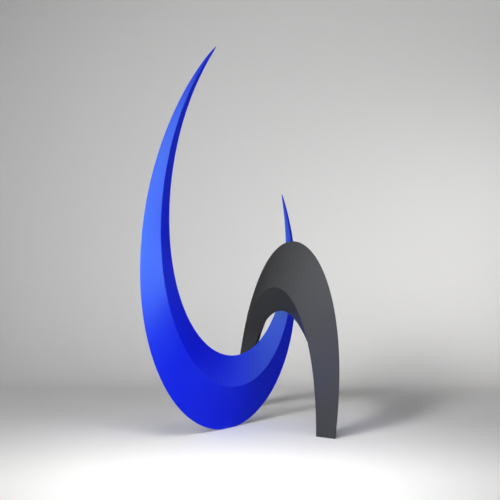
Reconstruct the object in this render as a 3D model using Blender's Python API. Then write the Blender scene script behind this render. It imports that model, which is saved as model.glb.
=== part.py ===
"""Two-piece abstract sculpture in painted sheet metal.

A tall crescent with two pointed horns stands on its belly. Its short arm passes
through a low two-legged arch, which stands on its two cut-off feet. Each piece
is a tapering band bent along a plane curve. The band has a kite-shaped section:
an outer edge, an inner edge, and a ridge on each face between them.

Metres, +Z up. The origin is on the floor, under the middle of the pair.
"""

import math

import bmesh
import bpy
import numpy as np

# ---------------------------------------------------------------- named sizes

# Curvature of each centreline, in 1/m, at five evenly spaced stations.
# The values between them follow a natural cubic spline.
# Lengths run along the centreline from the middle station to each end.

# Crescent, from the tall horn, round the belly, to the short horn.
CRESCENT_CURVATURE = (1.498, 2.228, 3.889, 4.257, 2.270)
CRESCENT_TALL_ARM = 0.7218
CRESCENT_SHORT_ARM = 0.7061
CRESCENT_HEADING = math.radians(-39.74)    # slope of the centreline at its middle
CRESCENT_WIDTH = 0.1460                   # outer edge to inner edge, at the middle
CRESCENT_TAPER = 0.541                    # how sharply the width falls to the points
CRESCENT_FULLNESS = (0.483, -1.500, -0.262)  # swells the band between middle and points
CRESCENT_RIDGE_AT = (0.5897, -0.0064, -0.2205)   # ridge, as a fraction from outer to inner
CRESCENT_RIDGE_SLOPE = 0.0798             # ridge height for each metre of width

# Arch, from the far foot, over the crown, to the near foot.
ARCH_CURVATURE = (4.610, 3.300, 5.601, 2.870, 2.473)
ARCH_FAR_LEG = 0.5240
ARCH_NEAR_LEG = 0.4500
ARCH_HEADING = math.radians(27.37)
ARCH_CENTRE_HEIGHT = 0.2790               # centreline at the middle station
ARCH_WIDTHS = (0.0593, 0.0905, 0.1610, 0.0951, 0.0274)   # at the same five stations
ARCH_RIDGE_AT = 0.6360
ARCH_RIDGE_HEIGHTS = (0.0130, 0.0269, 0.0150)  # far end, middle, near end
ARCH_LEG_RUN = 0.030            # each leg runs on straight by this, to be cut at the floor

# Where the pair stands.
CRESCENT_PLACE = (-0.0434, 0.0000)
CRESCENT_TURN = math.radians(57.98)      # direction of its plane, anticlockwise from +X
CRESCENT_LEAN = math.radians(0.00)
BELLY_FLAT_DEPTH = 0.0012                # flat spot worn on the belly where it stands
ARCH_PLACE = (0.10985, -0.01595)         # leaves 0.3 mm beside the crescent's arm
ARCH_TURN = math.radians(-68.58)
ARCH_LEAN = math.radians(0.00)

STATIONS_CRESCENT = 240         # lengths of band along each centreline
STATIONS_ARCH = 180

CRESCENT_BLUE = (0.001, 0.003, 0.900, 1.0)
ARCH_GREY = (0.053, 0.055, 0.059, 1.0)


# ------------------------------------------------------------------ geometry

def natural_spline(values, s):
    """Natural cubic spline through evenly spaced values on -1..1, read at s."""
    values = np.asarray(values, float)
    n = len(values)
    h = 2.0 / (n - 1)
    system = np.eye(n)
    right = np.zeros(n)
    for i in range(1, n - 1):
        system[i, i - 1:i + 2] = (1.0, 4.0, 1.0)
        right[i] = 6.0 * (values[i - 1] - 2.0 * values[i] + values[i + 1]) / h ** 2
    second = np.linalg.solve(system, right)
    i = np.clip(((s + 1.0) / h).astype(int), 0, n - 2)
    b = (s - (-1.0 + i * h)) / h
    a = 1.0 - b
    return (a * values[i] + b * values[i + 1]
            + ((a ** 3 - a) * second[i] + (b ** 3 - b) * second[i + 1]) * h ** 2 / 6.0)


def centreline(curvature, length_a, length_b, heading, stations):
    """Plane curve with the given curvature. Returns station, u, v and heading."""
    s = np.linspace(-1.0, 1.0, stations + 1)
    kappa = natural_spline(curvature, s)
    step = 2.0 / stations
    mid = stations // 2
    angle = np.zeros(stations + 1)
    u = np.zeros(stations + 1)
    v = np.zeros(stations + 1)
    angle[mid] = heading
    for length, order in ((length_b, range(mid + 1, stations + 1)),
                          (-length_a, range(mid - 1, -1, -1))):
        back = -1 if length > 0 else 1
        for i in order:
            j = i + back
            angle[i] = angle[j] + 0.5 * (kappa[i] + kappa[j]) * length * step
            mean = 0.5 * (angle[i] + angle[j])
            u[i] = u[j] + math.cos(mean) * length * step
            v[i] = v[j] + math.sin(mean) * length * step
    return s, u, v, angle


def kite_rings(u, v, angle, width, ridge_at, ridge):
    """Outer edge, front ridge, inner edge and back ridge of every section."""
    out = np.stack([np.sin(angle), -np.cos(angle)], 1)
    line = np.stack([u, v], 1)
    outer = line + out * (0.5 * width)[:, None]
    inner = line - out * (0.5 * width)[:, None]
    middle = outer + (inner - outer) * ridge_at[:, None]
    flat = np.zeros(len(u))
    return [np.column_stack([outer, flat]), np.column_stack([middle, ridge]),
            np.column_stack([inner, flat]), np.column_stack([middle, -ridge])]


def crescent_rings():
    s, u, v, angle = centreline(CRESCENT_CURVATURE, CRESCENT_TALL_ARM,
                                CRESCENT_SHORT_ARM, CRESCENT_HEADING,
                                STATIONS_CRESCENT)
    a1, a2, a3 = CRESCENT_FULLNESS
    width = (CRESCENT_WIDTH * np.maximum(1.0 - s * s, 0.0) ** CRESCENT_TAPER
             * np.exp(a1 * s + a2 * s ** 2 + a3 * s ** 3))
    q0, q1, q2 = CRESCENT_RIDGE_AT
    return kite_rings(u, v, angle, width, q0 + q1 * s + q2 * s * s,
                      CRESCENT_RIDGE_SLOPE * width)


def arch_rings():
    s, u, v, angle = centreline(ARCH_CURVATURE, ARCH_FAR_LEG, ARCH_NEAR_LEG,
                                ARCH_HEADING, STATIONS_ARCH)
    width = natural_spline(ARCH_WIDTHS, s)
    far, crown, near = ARCH_RIDGE_HEIGHTS
    ridge = crown + 0.5 * (near - far) * s + (0.5 * (far + near) - crown) * s * s
    rings = kite_rings(u, v, angle, width, np.full(len(s), ARCH_RIDGE_AT), ridge)
    run_on = []
    for ring in rings:
        ring[:, 1] = ARCH_CENTRE_HEIGHT - ring[:, 1]      # belly-down to crown-up
        first = (ring[0] - ring[1]) * ARCH_LEG_RUN * STATIONS_ARCH / (2.0 * ARCH_FAR_LEG)
        last = (ring[-1] - ring[-2]) * ARCH_LEG_RUN * STATIONS_ARCH / (2.0 * ARCH_NEAR_LEG)
        run_on.append(np.vstack([ring[0] + first, ring, ring[-1] + last]))
    return run_on


def band_mesh(name, rings, pointed):
    """Closed band through the four rings of points, with pointed or flat ends."""
    bm = bmesh.new()
    count = len(rings[0])

    def vertex(p):
        return bm.verts.new((p[0], -p[2], p[1]))          # u, out of plane, up

    rows = []
    for i in range(count):
        if pointed and i in (0, count - 1):
            rows.append([vertex(rings[0][i])] * 4)
        else:
            rows.append([vertex(ring[i]) for ring in rings])
    for low, high in zip(rows, rows[1:]):
        for k in range(4):
            corners = [low[k], low[(k + 1) % 4], high[(k + 1) % 4], high[k]]
            bm.faces.new(list(dict.fromkeys(corners)))
    if not pointed:
        bm.faces.new(rows[0])
        bm.faces.new(rows[-1])
    bmesh.ops.recalc_face_normals(bm, faces=bm.faces)
    mesh = bpy.data.meshes.new(name)
    bm.to_mesh(mesh)
    bm.free()
    return mesh


def cut_at_floor(obj):
    """Cut everything below the floor away and close the flat faces it leaves."""
    bm = bmesh.new()
    bm.from_mesh(obj.data)
    bm.transform(obj.matrix_world)
    geometry = bm.verts[:] + bm.edges[:] + bm.faces[:]
    bmesh.ops.bisect_plane(bm, geom=geometry, plane_co=(0, 0, 0),
                           plane_no=(0, 0, 1), clear_inner=True, dist=1e-7)
    rim = [e for e in bm.edges if e.is_boundary]
    bmesh.ops.holes_fill(bm, edges=rim, sides=0)
    bmesh.ops.recalc_face_normals(bm, faces=bm.faces)
    bm.transform(obj.matrix_world.inverted())
    bm.to_mesh(obj.data)
    bm.free()


def paint(name, colour, roughness):
    material = bpy.data.materials.new(name)
    material.use_nodes = True
    shader = material.node_tree.nodes["Principled BSDF"]
    shader.inputs["Base Color"].default_value = colour
    shader.inputs["Roughness"].default_value = roughness
    shader.inputs["Metallic"].default_value = 0.0
    material.diffuse_color = colour
    return material


def stand(name, mesh, place, lean, turn, material):
    obj = bpy.data.objects.new(name, mesh)
    bpy.context.scene.collection.objects.link(obj)
    obj.location = place
    obj.rotation_euler = (-lean, 0.0, turn)
    mesh.materials.append(material)
    bpy.context.view_layer.update()
    return obj


# --------------------------------------------------------------------- model

for old in list(bpy.data.objects):
    bpy.data.objects.remove(old, do_unlink=True)

rings = crescent_rings()
# Stand the crescent on the lowest point of its outer edge, read off a parabola
# through the lowest three points, and sink it by the depth of its flat spot.
low = int(rings[0][:, 1].argmin())
below, here, above = rings[0][low - 1], rings[0][low], rings[0][low + 1]
bend = 0.5 * (below[1] + above[1]) - here[1]
t = -0.5 * (above[1] - below[1]) / (2.0 * bend)
belly_u = (here[0] + 0.5 * (above[0] - below[0]) * t
           + (0.5 * (below[0] + above[0]) - here[0]) * t * t)
belly_v = here[1] + 0.5 * (above[1] - below[1]) * t + bend * t * t
for ring in rings:
    ring[:, 0] -= belly_u
    ring[:, 1] -= belly_v + BELLY_FLAT_DEPTH
crescent = stand("blue_crescent", band_mesh("blue_crescent", rings, True),
                 (CRESCENT_PLACE[0], CRESCENT_PLACE[1], 0.0),
                 CRESCENT_LEAN, CRESCENT_TURN,
                 paint("blue_paint", CRESCENT_BLUE, 0.45))
cut_at_floor(crescent)

arch = stand("grey_arch", band_mesh("grey_arch", arch_rings(), False),
             (ARCH_PLACE[0], ARCH_PLACE[1], 0.0),
             ARCH_LEAN, ARCH_TURN,
             paint("grey_paint", ARCH_GREY, 0.5))
cut_at_floor(arch)

# Centre the pair over the origin.
points = np.array([obj.matrix_world @ v.co
                   for obj in (crescent, arch) for v in obj.data.vertices])
middle = 0.5 * (points.min(0) + points.max(0))
for obj in (crescent, arch):
    obj.location.x -= middle[0]
    obj.location.y -= middle[1]
    obj.data.set_sharp_from_angle(angle=math.radians(8.0))
bpy.context.view_layer.update()
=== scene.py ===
"""Looks for the two-piece painted metal sculpture: fine surfaces, paint, camera and studio."""

import math

import bmesh
import bpy
import numpy as np
from mathutils import Matrix, Vector


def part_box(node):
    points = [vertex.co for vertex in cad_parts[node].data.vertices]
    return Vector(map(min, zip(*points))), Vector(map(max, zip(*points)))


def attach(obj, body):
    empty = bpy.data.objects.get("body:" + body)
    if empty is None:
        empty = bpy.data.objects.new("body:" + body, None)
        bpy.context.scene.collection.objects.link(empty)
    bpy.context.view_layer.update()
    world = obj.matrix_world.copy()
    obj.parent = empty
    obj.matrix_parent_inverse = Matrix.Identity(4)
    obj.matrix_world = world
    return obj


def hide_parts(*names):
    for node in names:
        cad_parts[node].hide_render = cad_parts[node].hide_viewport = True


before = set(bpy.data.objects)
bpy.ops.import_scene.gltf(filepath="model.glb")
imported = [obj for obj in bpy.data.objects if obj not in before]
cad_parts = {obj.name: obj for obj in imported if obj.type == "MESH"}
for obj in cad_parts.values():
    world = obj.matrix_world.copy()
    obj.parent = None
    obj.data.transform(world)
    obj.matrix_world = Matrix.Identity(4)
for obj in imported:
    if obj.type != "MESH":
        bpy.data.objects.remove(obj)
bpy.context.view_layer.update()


# ---------------------------------------------------------------- named sizes
# The same driving sizes as the solids, in metres and radians.

CRESCENT_CURVATURE = (1.498, 2.228, 3.889, 4.257, 2.270)
CRESCENT_TALL_ARM = 0.7218
CRESCENT_SHORT_ARM = 0.7061
CRESCENT_HEADING = math.radians(-39.74)
CRESCENT_WIDTH = 0.1460
CRESCENT_TAPER = 0.541
CRESCENT_FULLNESS = (0.483, -1.500, -0.262)
CRESCENT_RIDGE_AT = (0.5897, -0.0064, -0.2205)
CRESCENT_RIDGE_SLOPE = 0.0798

ARCH_CURVATURE = (4.610, 3.300, 5.601, 2.870, 2.473)
ARCH_FAR_LEG = 0.5240
ARCH_NEAR_LEG = 0.4500
ARCH_HEADING = math.radians(27.37)
ARCH_CENTRE_HEIGHT = 0.2790
ARCH_WIDTHS = (0.0593, 0.0905, 0.1610, 0.0951, 0.0274)
ARCH_RIDGE_AT = 0.6360
ARCH_RIDGE_HEIGHTS = (0.0130, 0.0269, 0.0150)
ARCH_LEG_RUN = 0.030

CRESCENT_PLACE = (-0.0434, 0.0000)
CRESCENT_TURN = math.radians(57.98)
BELLY_FLAT_DEPTH = 0.0012
ARCH_PLACE = (0.10985, -0.01595)
ARCH_TURN = math.radians(-68.58)

EDGE_ROUND = 0.0005         # radius left on a dressed and painted edge
FINE_CRESCENT = 960         # lengths of band in the fine mesh
FINE_ARCH = 720


# ------------------------------------------------------------------ geometry

def natural_spline(values, s):
    values = np.asarray(values, float)
    n = len(values)
    h = 2.0 / (n - 1)
    system = np.eye(n)
    right = np.zeros(n)
    for i in range(1, n - 1):
        system[i, i - 1:i + 2] = (1.0, 4.0, 1.0)
        right[i] = 6.0 * (values[i - 1] - 2.0 * values[i] + values[i + 1]) / h ** 2
    second = np.linalg.solve(system, right)
    i = np.clip(((s + 1.0) / h).astype(int), 0, n - 2)
    b = (s - (-1.0 + i * h)) / h
    a = 1.0 - b
    return (a * values[i] + b * values[i + 1]
            + ((a ** 3 - a) * second[i] + (b ** 3 - b) * second[i + 1]) * h ** 2 / 6.0)


def centreline(curvature, length_a, length_b, heading, stations):
    s = np.linspace(-1.0, 1.0, stations + 1)
    kappa = natural_spline(curvature, s)
    step = 2.0 / stations
    mid = stations // 2
    angle = np.zeros(stations + 1)
    u = np.zeros(stations + 1)
    v = np.zeros(stations + 1)
    angle[mid] = heading
    for length, order in ((length_b, range(mid + 1, stations + 1)),
                          (-length_a, range(mid - 1, -1, -1))):
        back = -1 if length > 0 else 1
        for i in order:
            j = i + back
            angle[i] = angle[j] + 0.5 * (kappa[i] + kappa[j]) * length * step
            mean = 0.5 * (angle[i] + angle[j])
            u[i] = u[j] + math.cos(mean) * length * step
            v[i] = v[j] + math.sin(mean) * length * step
    return s, u, v, angle


def kite_rings(u, v, angle, width, ridge_at, ridge):
    out = np.stack([np.sin(angle), -np.cos(angle)], 1)
    line = np.stack([u, v], 1)
    outer = line + out * (0.5 * width)[:, None]
    inner = line - out * (0.5 * width)[:, None]
    middle = outer + (inner - outer) * ridge_at[:, None]
    flat = np.zeros(len(u))
    return [np.column_stack([outer, flat]), np.column_stack([middle, ridge]),
            np.column_stack([inner, flat]), np.column_stack([middle, -ridge])]


def corner_cut(corner, before, after):
    """Unit directions to the neighbours, half the corner's angle, and the arc's setback."""
    a, b = before - corner, after - corner
    la = np.linalg.norm(a, axis=1, keepdims=True)
    lb = np.linalg.norm(b, axis=1, keepdims=True)
    a, b = a / np.maximum(la, 1e-9), b / np.maximum(lb, 1e-9)
    half = 0.5 * np.arccos(np.clip((a * b).sum(1, keepdims=True), -1.0, 1.0))
    back = EDGE_ROUND / np.tan(np.maximum(half, 1e-3))
    return a, b, half, np.minimum(back, 0.12 * np.minimum(la, lb))


def rounded(rings):
    """Each corner of the kite becomes a short arc of points inside the corner.

    The outer and inner edges are first moved out by what their arcs take away,
    so the dressed edge keeps the outline.
    """
    rings = [ring.copy() for ring in rings]
    moved = {}
    for k in (0, 2):
        a, b, half, back = corner_cut(rings[k], rings[k - 1], rings[k + 1])
        outward = -(a + b)
        outward /= np.maximum(np.linalg.norm(outward, axis=1, keepdims=True), 1e-9)
        moved[k] = rings[k] + outward * 0.5 * back * np.cos(half)
    for k, ring in moved.items():
        rings[k] = ring
    loops = []
    for k in range(4):
        corner = rings[k]
        a, b, half, back = corner_cut(corner, rings[k - 1], rings[(k + 1) % 4])
        start, end = corner + a * back, corner + b * back
        for t in (0.0, 0.25, 0.5, 0.75, 1.0):
            loops.append((1 - t) ** 2 * start + 2 * t * (1 - t) * corner + t * t * end)
    return loops


def crescent_rings():
    s, u, v, angle = centreline(CRESCENT_CURVATURE, CRESCENT_TALL_ARM,
                                CRESCENT_SHORT_ARM, CRESCENT_HEADING, FINE_CRESCENT)
    a1, a2, a3 = CRESCENT_FULLNESS
    width = (CRESCENT_WIDTH * np.maximum(1.0 - s * s, 0.0) ** CRESCENT_TAPER
             * np.exp(a1 * s + a2 * s ** 2 + a3 * s ** 3))
    q0, q1, q2 = CRESCENT_RIDGE_AT
    rings = kite_rings(u, v, angle, width, q0 + q1 * s + q2 * s * s,
                       CRESCENT_RIDGE_SLOPE * width)
    low = int(rings[0][:, 1].argmin())
    below, here, above = rings[0][low - 1], rings[0][low], rings[0][low + 1]
    bend = 0.5 * (below[1] + above[1]) - here[1]
    t = -0.5 * (above[1] - below[1]) / (2.0 * bend)
    belly_u = (here[0] + 0.5 * (above[0] - below[0]) * t
               + (0.5 * (below[0] + above[0]) - here[0]) * t * t)
    belly_v = here[1] + 0.5 * (above[1] - below[1]) * t + bend * t * t
    for ring in rings:
        ring[:, 0] -= belly_u
        ring[:, 1] -= belly_v + BELLY_FLAT_DEPTH
    return rings


def arch_rings():
    s, u, v, angle = centreline(ARCH_CURVATURE, ARCH_FAR_LEG, ARCH_NEAR_LEG,
                                ARCH_HEADING, FINE_ARCH)
    width = natural_spline(ARCH_WIDTHS, s)
    far, crown, near = ARCH_RIDGE_HEIGHTS
    ridge = crown + 0.5 * (near - far) * s + (0.5 * (far + near) - crown) * s * s
    rings = kite_rings(u, v, angle, width, np.full(len(s), ARCH_RIDGE_AT), ridge)
    run_on = []
    for ring in rings:
        ring[:, 1] = ARCH_CENTRE_HEIGHT - ring[:, 1]
        first = (ring[0] - ring[1]) * ARCH_LEG_RUN * FINE_ARCH / (2.0 * ARCH_FAR_LEG)
        last = (ring[-1] - ring[-2]) * ARCH_LEG_RUN * FINE_ARCH / (2.0 * ARCH_NEAR_LEG)
        run_on.append(np.vstack([ring[0] + first, ring, ring[-1] + last]))
    return run_on


def fine_band(name, rings, pointed, node, place, turn):
    """Closed band with dressed edges, cut flat at the floor and placed like its solid."""
    loops = rounded(rings)
    bm = bmesh.new()
    count, sides = len(loops[0]), len(loops)

    def vertex(p):
        return bm.verts.new((p[0], -p[2], p[1]))

    rows = []
    for i in range(count):
        if pointed and i in (0, count - 1):
            rows.append([vertex(rings[0][i])] * sides)
        else:
            rows.append([vertex(loop[i]) for loop in loops])
    for low, high in zip(rows, rows[1:]):
        for k in range(sides):
            corners = [low[k], low[(k + 1) % sides], high[(k + 1) % sides], high[k]]
            bm.faces.new(list(dict.fromkeys(corners)))
    if not pointed:
        bm.faces.new(rows[0])
        bm.faces.new(rows[-1])
    geometry = bm.verts[:] + bm.edges[:] + bm.faces[:]
    bmesh.ops.bisect_plane(bm, geom=geometry, plane_co=(0, 0, 0),
                           plane_no=(0, 0, 1), clear_inner=True, dist=1e-7)
    rim = [e for e in bm.edges if e.is_boundary]
    bmesh.ops.holes_fill(bm, edges=rim, sides=0)
    bmesh.ops.recalc_face_normals(bm, faces=bm.faces)
    bm.transform(Matrix.Translation((place[0], place[1], 0.0)) @ Matrix.Rotation(turn, 4, "Z"))
    # The solids are centred over the origin as a pair. The fine surface moves the
    # same way, by the shift between its own box and its solid's box.
    points = np.array([v.co for v in bm.verts])
    low, high = (np.array(c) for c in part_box(node))
    shift = 0.5 * (low + high) - 0.5 * (points.min(0) + points.max(0))
    bm.transform(Matrix.Translation((shift[0], shift[1], 0.0)))
    for face in bm.faces:
        face.smooth = True
    mesh = bpy.data.meshes.new(name)
    bm.to_mesh(mesh)
    bm.free()
    mesh.set_sharp_from_angle(angle=math.radians(40.0))
    obj = bpy.data.objects.new(name, mesh)
    bpy.context.scene.collection.objects.link(obj)
    return obj


# ----------------------------------------------------------------- materials

def satin_paint(name, colour, deep, roughness, gloss, gloss_tint):
    """Smooth sprayed paint: a faint variation of tone and of the softness of its gloss."""
    material = bpy.data.materials.new(name)
    material.use_nodes = True
    nodes, links = material.node_tree.nodes, material.node_tree.links
    shader = nodes["Principled BSDF"]
    shader.inputs["Metallic"].default_value = 0.0
    shader.inputs["Specular IOR Level"].default_value = gloss
    shader.inputs["Specular Tint"].default_value = (*gloss_tint, 1.0)
    where = nodes.new("ShaderNodeTexCoord")

    tone = nodes.new("ShaderNodeTexNoise")
    tone.inputs["Scale"].default_value = 6.0
    tone.inputs["Detail"].default_value = 3.0
    links.new(where.outputs["Object"], tone.inputs["Vector"])
    ramp = nodes.new("ShaderNodeValToRGB")
    ramp.color_ramp.elements[0].position = 0.20
    ramp.color_ramp.elements[0].color = (*deep, 1.0)
    ramp.color_ramp.elements[1].position = 0.80
    ramp.color_ramp.elements[1].color = (*colour, 1.0)
    links.new(tone.outputs["Fac"], ramp.inputs["Fac"])
    links.new(ramp.outputs["Color"], shader.inputs["Base Color"])

    patches = nodes.new("ShaderNodeTexNoise")
    patches.inputs["Scale"].default_value = 18.0
    patches.inputs["Detail"].default_value = 4.0
    links.new(where.outputs["Object"], patches.inputs["Vector"])
    spread = nodes.new("ShaderNodeMapRange")
    spread.inputs["To Min"].default_value = roughness - 0.006
    spread.inputs["To Max"].default_value = roughness + 0.006
    links.new(patches.outputs["Fac"], spread.inputs["Value"])
    links.new(spread.outputs["Result"], shader.inputs["Roughness"])
    return material


def plain_finish(name, colour, roughness):
    material = bpy.data.materials.new(name)
    material.use_nodes = True
    shader = material.node_tree.nodes["Principled BSDF"]
    shader.inputs["Base Color"].default_value = (*colour, 1.0)
    shader.inputs["Roughness"].default_value = roughness
    shader.inputs["Specular IOR Level"].default_value = 0.2
    return material


def one_sided(material):
    """Leaves out the back of a studio surface, so that the back of the piece can be seen."""
    nodes, links = material.node_tree.nodes, material.node_tree.links
    side = nodes.new("ShaderNodeNewGeometry")
    clear = nodes.new("ShaderNodeBsdfTransparent")
    choose = nodes.new("ShaderNodeMixShader")
    links.new(side.outputs["Backfacing"], choose.inputs["Fac"])
    links.new(nodes["Principled BSDF"].outputs["BSDF"], choose.inputs[1])
    links.new(clear.outputs["BSDF"], choose.inputs[2])
    links.new(choose.outputs["Shader"], nodes["Material Output"].inputs["Surface"])
    return material


# --------------------------------------------------------------------- model

crescent = fine_band("crescent_surface", crescent_rings(), True, "blue_crescent",
                     CRESCENT_PLACE, CRESCENT_TURN)
arch = fine_band("arch_surface", arch_rings(), False, "grey_arch",
                 ARCH_PLACE, ARCH_TURN)
bpy.context.view_layer.update()

crescent.data.materials.append(satin_paint(
    "crescent_blue_paint", (0.0005, 0.0030, 0.920), (0.0005, 0.0025, 0.870),
    0.31, 1.0, (0.32, 0.95, 1.0)))
arch.data.materials.append(satin_paint(
    "arch_grey_paint", (0.0550, 0.0565, 0.0605), (0.0515, 0.0530, 0.0570),
    0.50, 0.5, (1.0, 1.0, 1.0)))

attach(crescent, "root")
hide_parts("blue_crescent")
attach(arch, "root")
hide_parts("grey_arch")


# -------------------------------------------------------------------- studio

def stage_strip(name, profile, material, half_width=4.0):
    """Smooth strip of studio surface through (y, z) points."""
    mesh = bpy.data.meshes.new(name)
    verts = [(x, y, z) for y, z in profile for x in (-half_width, half_width)]
    faces = [(2 * i, 2 * i + 1, 2 * i + 3, 2 * i + 2) for i in range(len(profile) - 1)]
    mesh.from_pydata(verts, [], faces)
    mesh.shade_smooth()
    mesh.materials.append(material)
    obj = bpy.data.objects.new(name, mesh)
    bpy.context.scene.collection.objects.link(obj)
    obj.visible_glossy = False      # the paint's gloss shows the lamps, not the white sweep
    return obj


def curve_up(start, radius, height, steps=48):
    """Quarter circle from the floor into an upright wall."""
    points = [(start, 0.0)]
    for i in range(1, steps + 1):
        a = 0.5 * math.pi * i / steps
        points.append((start + radius * math.sin(a), radius * (1 - math.cos(a))))
    return points + [(start + radius, height)]


CURVE_START, CURVE_RADIUS, WALL_HEIGHT, FLOOR_FRONT = 0.68, 0.34, 3.6, -3.6
studio_pale = plain_finish("studio_pale", (0.80, 0.795, 0.79), 0.85)
studio_wall = one_sided(plain_finish("studio_wall", (0.80, 0.795, 0.79), 0.85))
floor = stage_strip("studio_floor", [(FLOOR_FRONT, 0.0), (CURVE_START, 0.0)], studio_pale)
backdrop = stage_strip("studio_backdrop", curve_up(CURVE_START, CURVE_RADIUS, WALL_HEIGHT),
                       studio_wall)
# The floor goes on behind the backdrop, for views from the back.
floor_behind = stage_strip("studio_floor_behind", [(CURVE_START + 0.02, 0.0), (-FLOOR_FRONT, 0.0)],
                           studio_pale)


def soft_light(name, place, target, size, power, spread=180.0, gloss=True, diffuse=True):
    """Square softbox aimed at a point. A spread under 180 degrees is a grid on its front.

    One that only shows in the paint's gloss has diffuse off, and the other way round.
    """
    data = bpy.data.lights.new(name, "AREA")
    data.shape = "SQUARE"
    data.size = size
    data.energy = power
    data.spread = math.radians(spread)
    obj = bpy.data.objects.new(name, data)
    bpy.context.scene.collection.objects.link(obj)
    obj.location = place
    aim = Vector(target) - Vector(place)
    obj.rotation_euler = aim.to_track_quat("-Z", "Y").to_euler()
    obj.visible_camera = False
    obj.visible_glossy = gloss
    obj.visible_diffuse = diffuse
    return obj


def front_left(turn, height, distance=3.0):
    """Point at an angle left of the camera's axis and an angle above the floor."""
    a, e = math.radians(turn), math.radians(height)
    return (-math.sin(a) * math.cos(e) * distance, -math.cos(a) * math.cos(e) * distance,
            math.sin(e) * distance)


def on_the_right(turn, height, distance=2.0):
    """Point on the right-hand side, at an angle behind the sculpture."""
    a = math.radians(turn)
    return (math.cos(a) * distance, math.sin(a) * distance, height)


# Keys from the front left: the shadows run to the right and back from these.
soft_light("key_high", front_left(27.0, 34.0), (0.0, 0.0, 0.50), 0.50, 3.85, 60.0)
soft_light("key", front_left(27.0, 30.0), (0.0, 0.0, 0.50), 0.70, 1.61, 60.0)
soft_light("key_low", front_left(24.0, 24.0), (0.0, 0.0, 0.60), 0.50, 1.33, 45.0)
# The pool of light on the floor in front.
soft_light("floor_middle", (-0.05, -1.2, 1.2), (0.0, -0.60, 0.0), 0.50, 1.78, 50.0)
soft_light("floor_top", (0.0, -0.9, 1.9), (0.0, -0.80, 0.0), 0.80, 0.78, 60.0)
# Fills: low behind on the left, and a gridded one for the wall on the right.
soft_light("left_fill", (-1.9, 0.5, 0.9), (0.0, 0.0, 0.35), 0.80, 2.84, 120.0)
soft_light("wall", (1.6, 0.1, 0.8), (0.50, 1.02, 0.35), 0.30, 0.29, 40.0)
# Fill from the front right, off the gloss.
soft_light("fill_right", (1.7, -2.6, 1.0), (0.0, 0.0, 0.30), 1.60, 31.0, gloss=False)
# Softboxes on the right, seen only in the gloss of the crescent.
crescent_only = bpy.data.collections.new("crescent_only")
crescent_only.objects.link(crescent)
gloss_lights = []
for name, turn, height, size, power in (("gloss_front", -20.0, 0.45, 0.50, 5.00),
                                        ("gloss_low", 0.0, 0.30, 0.60, 0.80),
                                        ("gloss_high", 0.0, 0.95, 0.60, 1.85),
                                        ("gloss_floor", 10.0, 0.15, 0.50, 0.95)):
    gloss_lights.append(soft_light(name, on_the_right(turn, height), (0.0, 0.0, 0.40),
                                   size, power, 120.0, diffuse=False))
for lamp in gloss_lights:
    lamp.light_linking.receiver_collection = crescent_only

world = bpy.data.worlds.new("studio_air")
bpy.context.scene.world = world
world.use_nodes = True
air = world.node_tree
air.nodes["Background"].inputs["Color"].default_value = (1.0, 1.0, 1.0, 1.0)
air.nodes["Background"].inputs["Strength"].default_value = 0.004
# Beyond the studio's surfaces the camera sees a dark grey, which lights nothing.
beyond = air.nodes.new("ShaderNodeBackground")
beyond.inputs["Color"].default_value = (0.05, 0.05, 0.05, 1.0)
seen = air.nodes.new("ShaderNodeLightPath")
choose = air.nodes.new("ShaderNodeMixShader")
air.links.new(seen.outputs["Is Camera Ray"], choose.inputs["Fac"])
air.links.new(air.nodes["Background"].outputs["Background"], choose.inputs[1])
air.links.new(beyond.outputs["Background"], choose.inputs[2])
air.links.new(choose.outputs["Shader"], air.nodes["World Output"].inputs["Surface"])
bpy.context.scene.view_settings.view_transform = "Standard"

# -------------------------------------------------------------------- camera

lens = bpy.data.cameras.new("studio_camera")
lens.sensor_width = 36.0
lens.lens = 95.19
camera = bpy.data.objects.new("studio_camera", lens)
bpy.context.scene.collection.objects.link(camera)
camera.location = (0.01563, -2.68559, 0.37727)
camera.rotation_euler = (math.radians(90.0 - 0.453), 0.0, 0.0)
lens.clip_start, lens.clip_end = 0.05, 50.0
bpy.context.scene.camera = camera
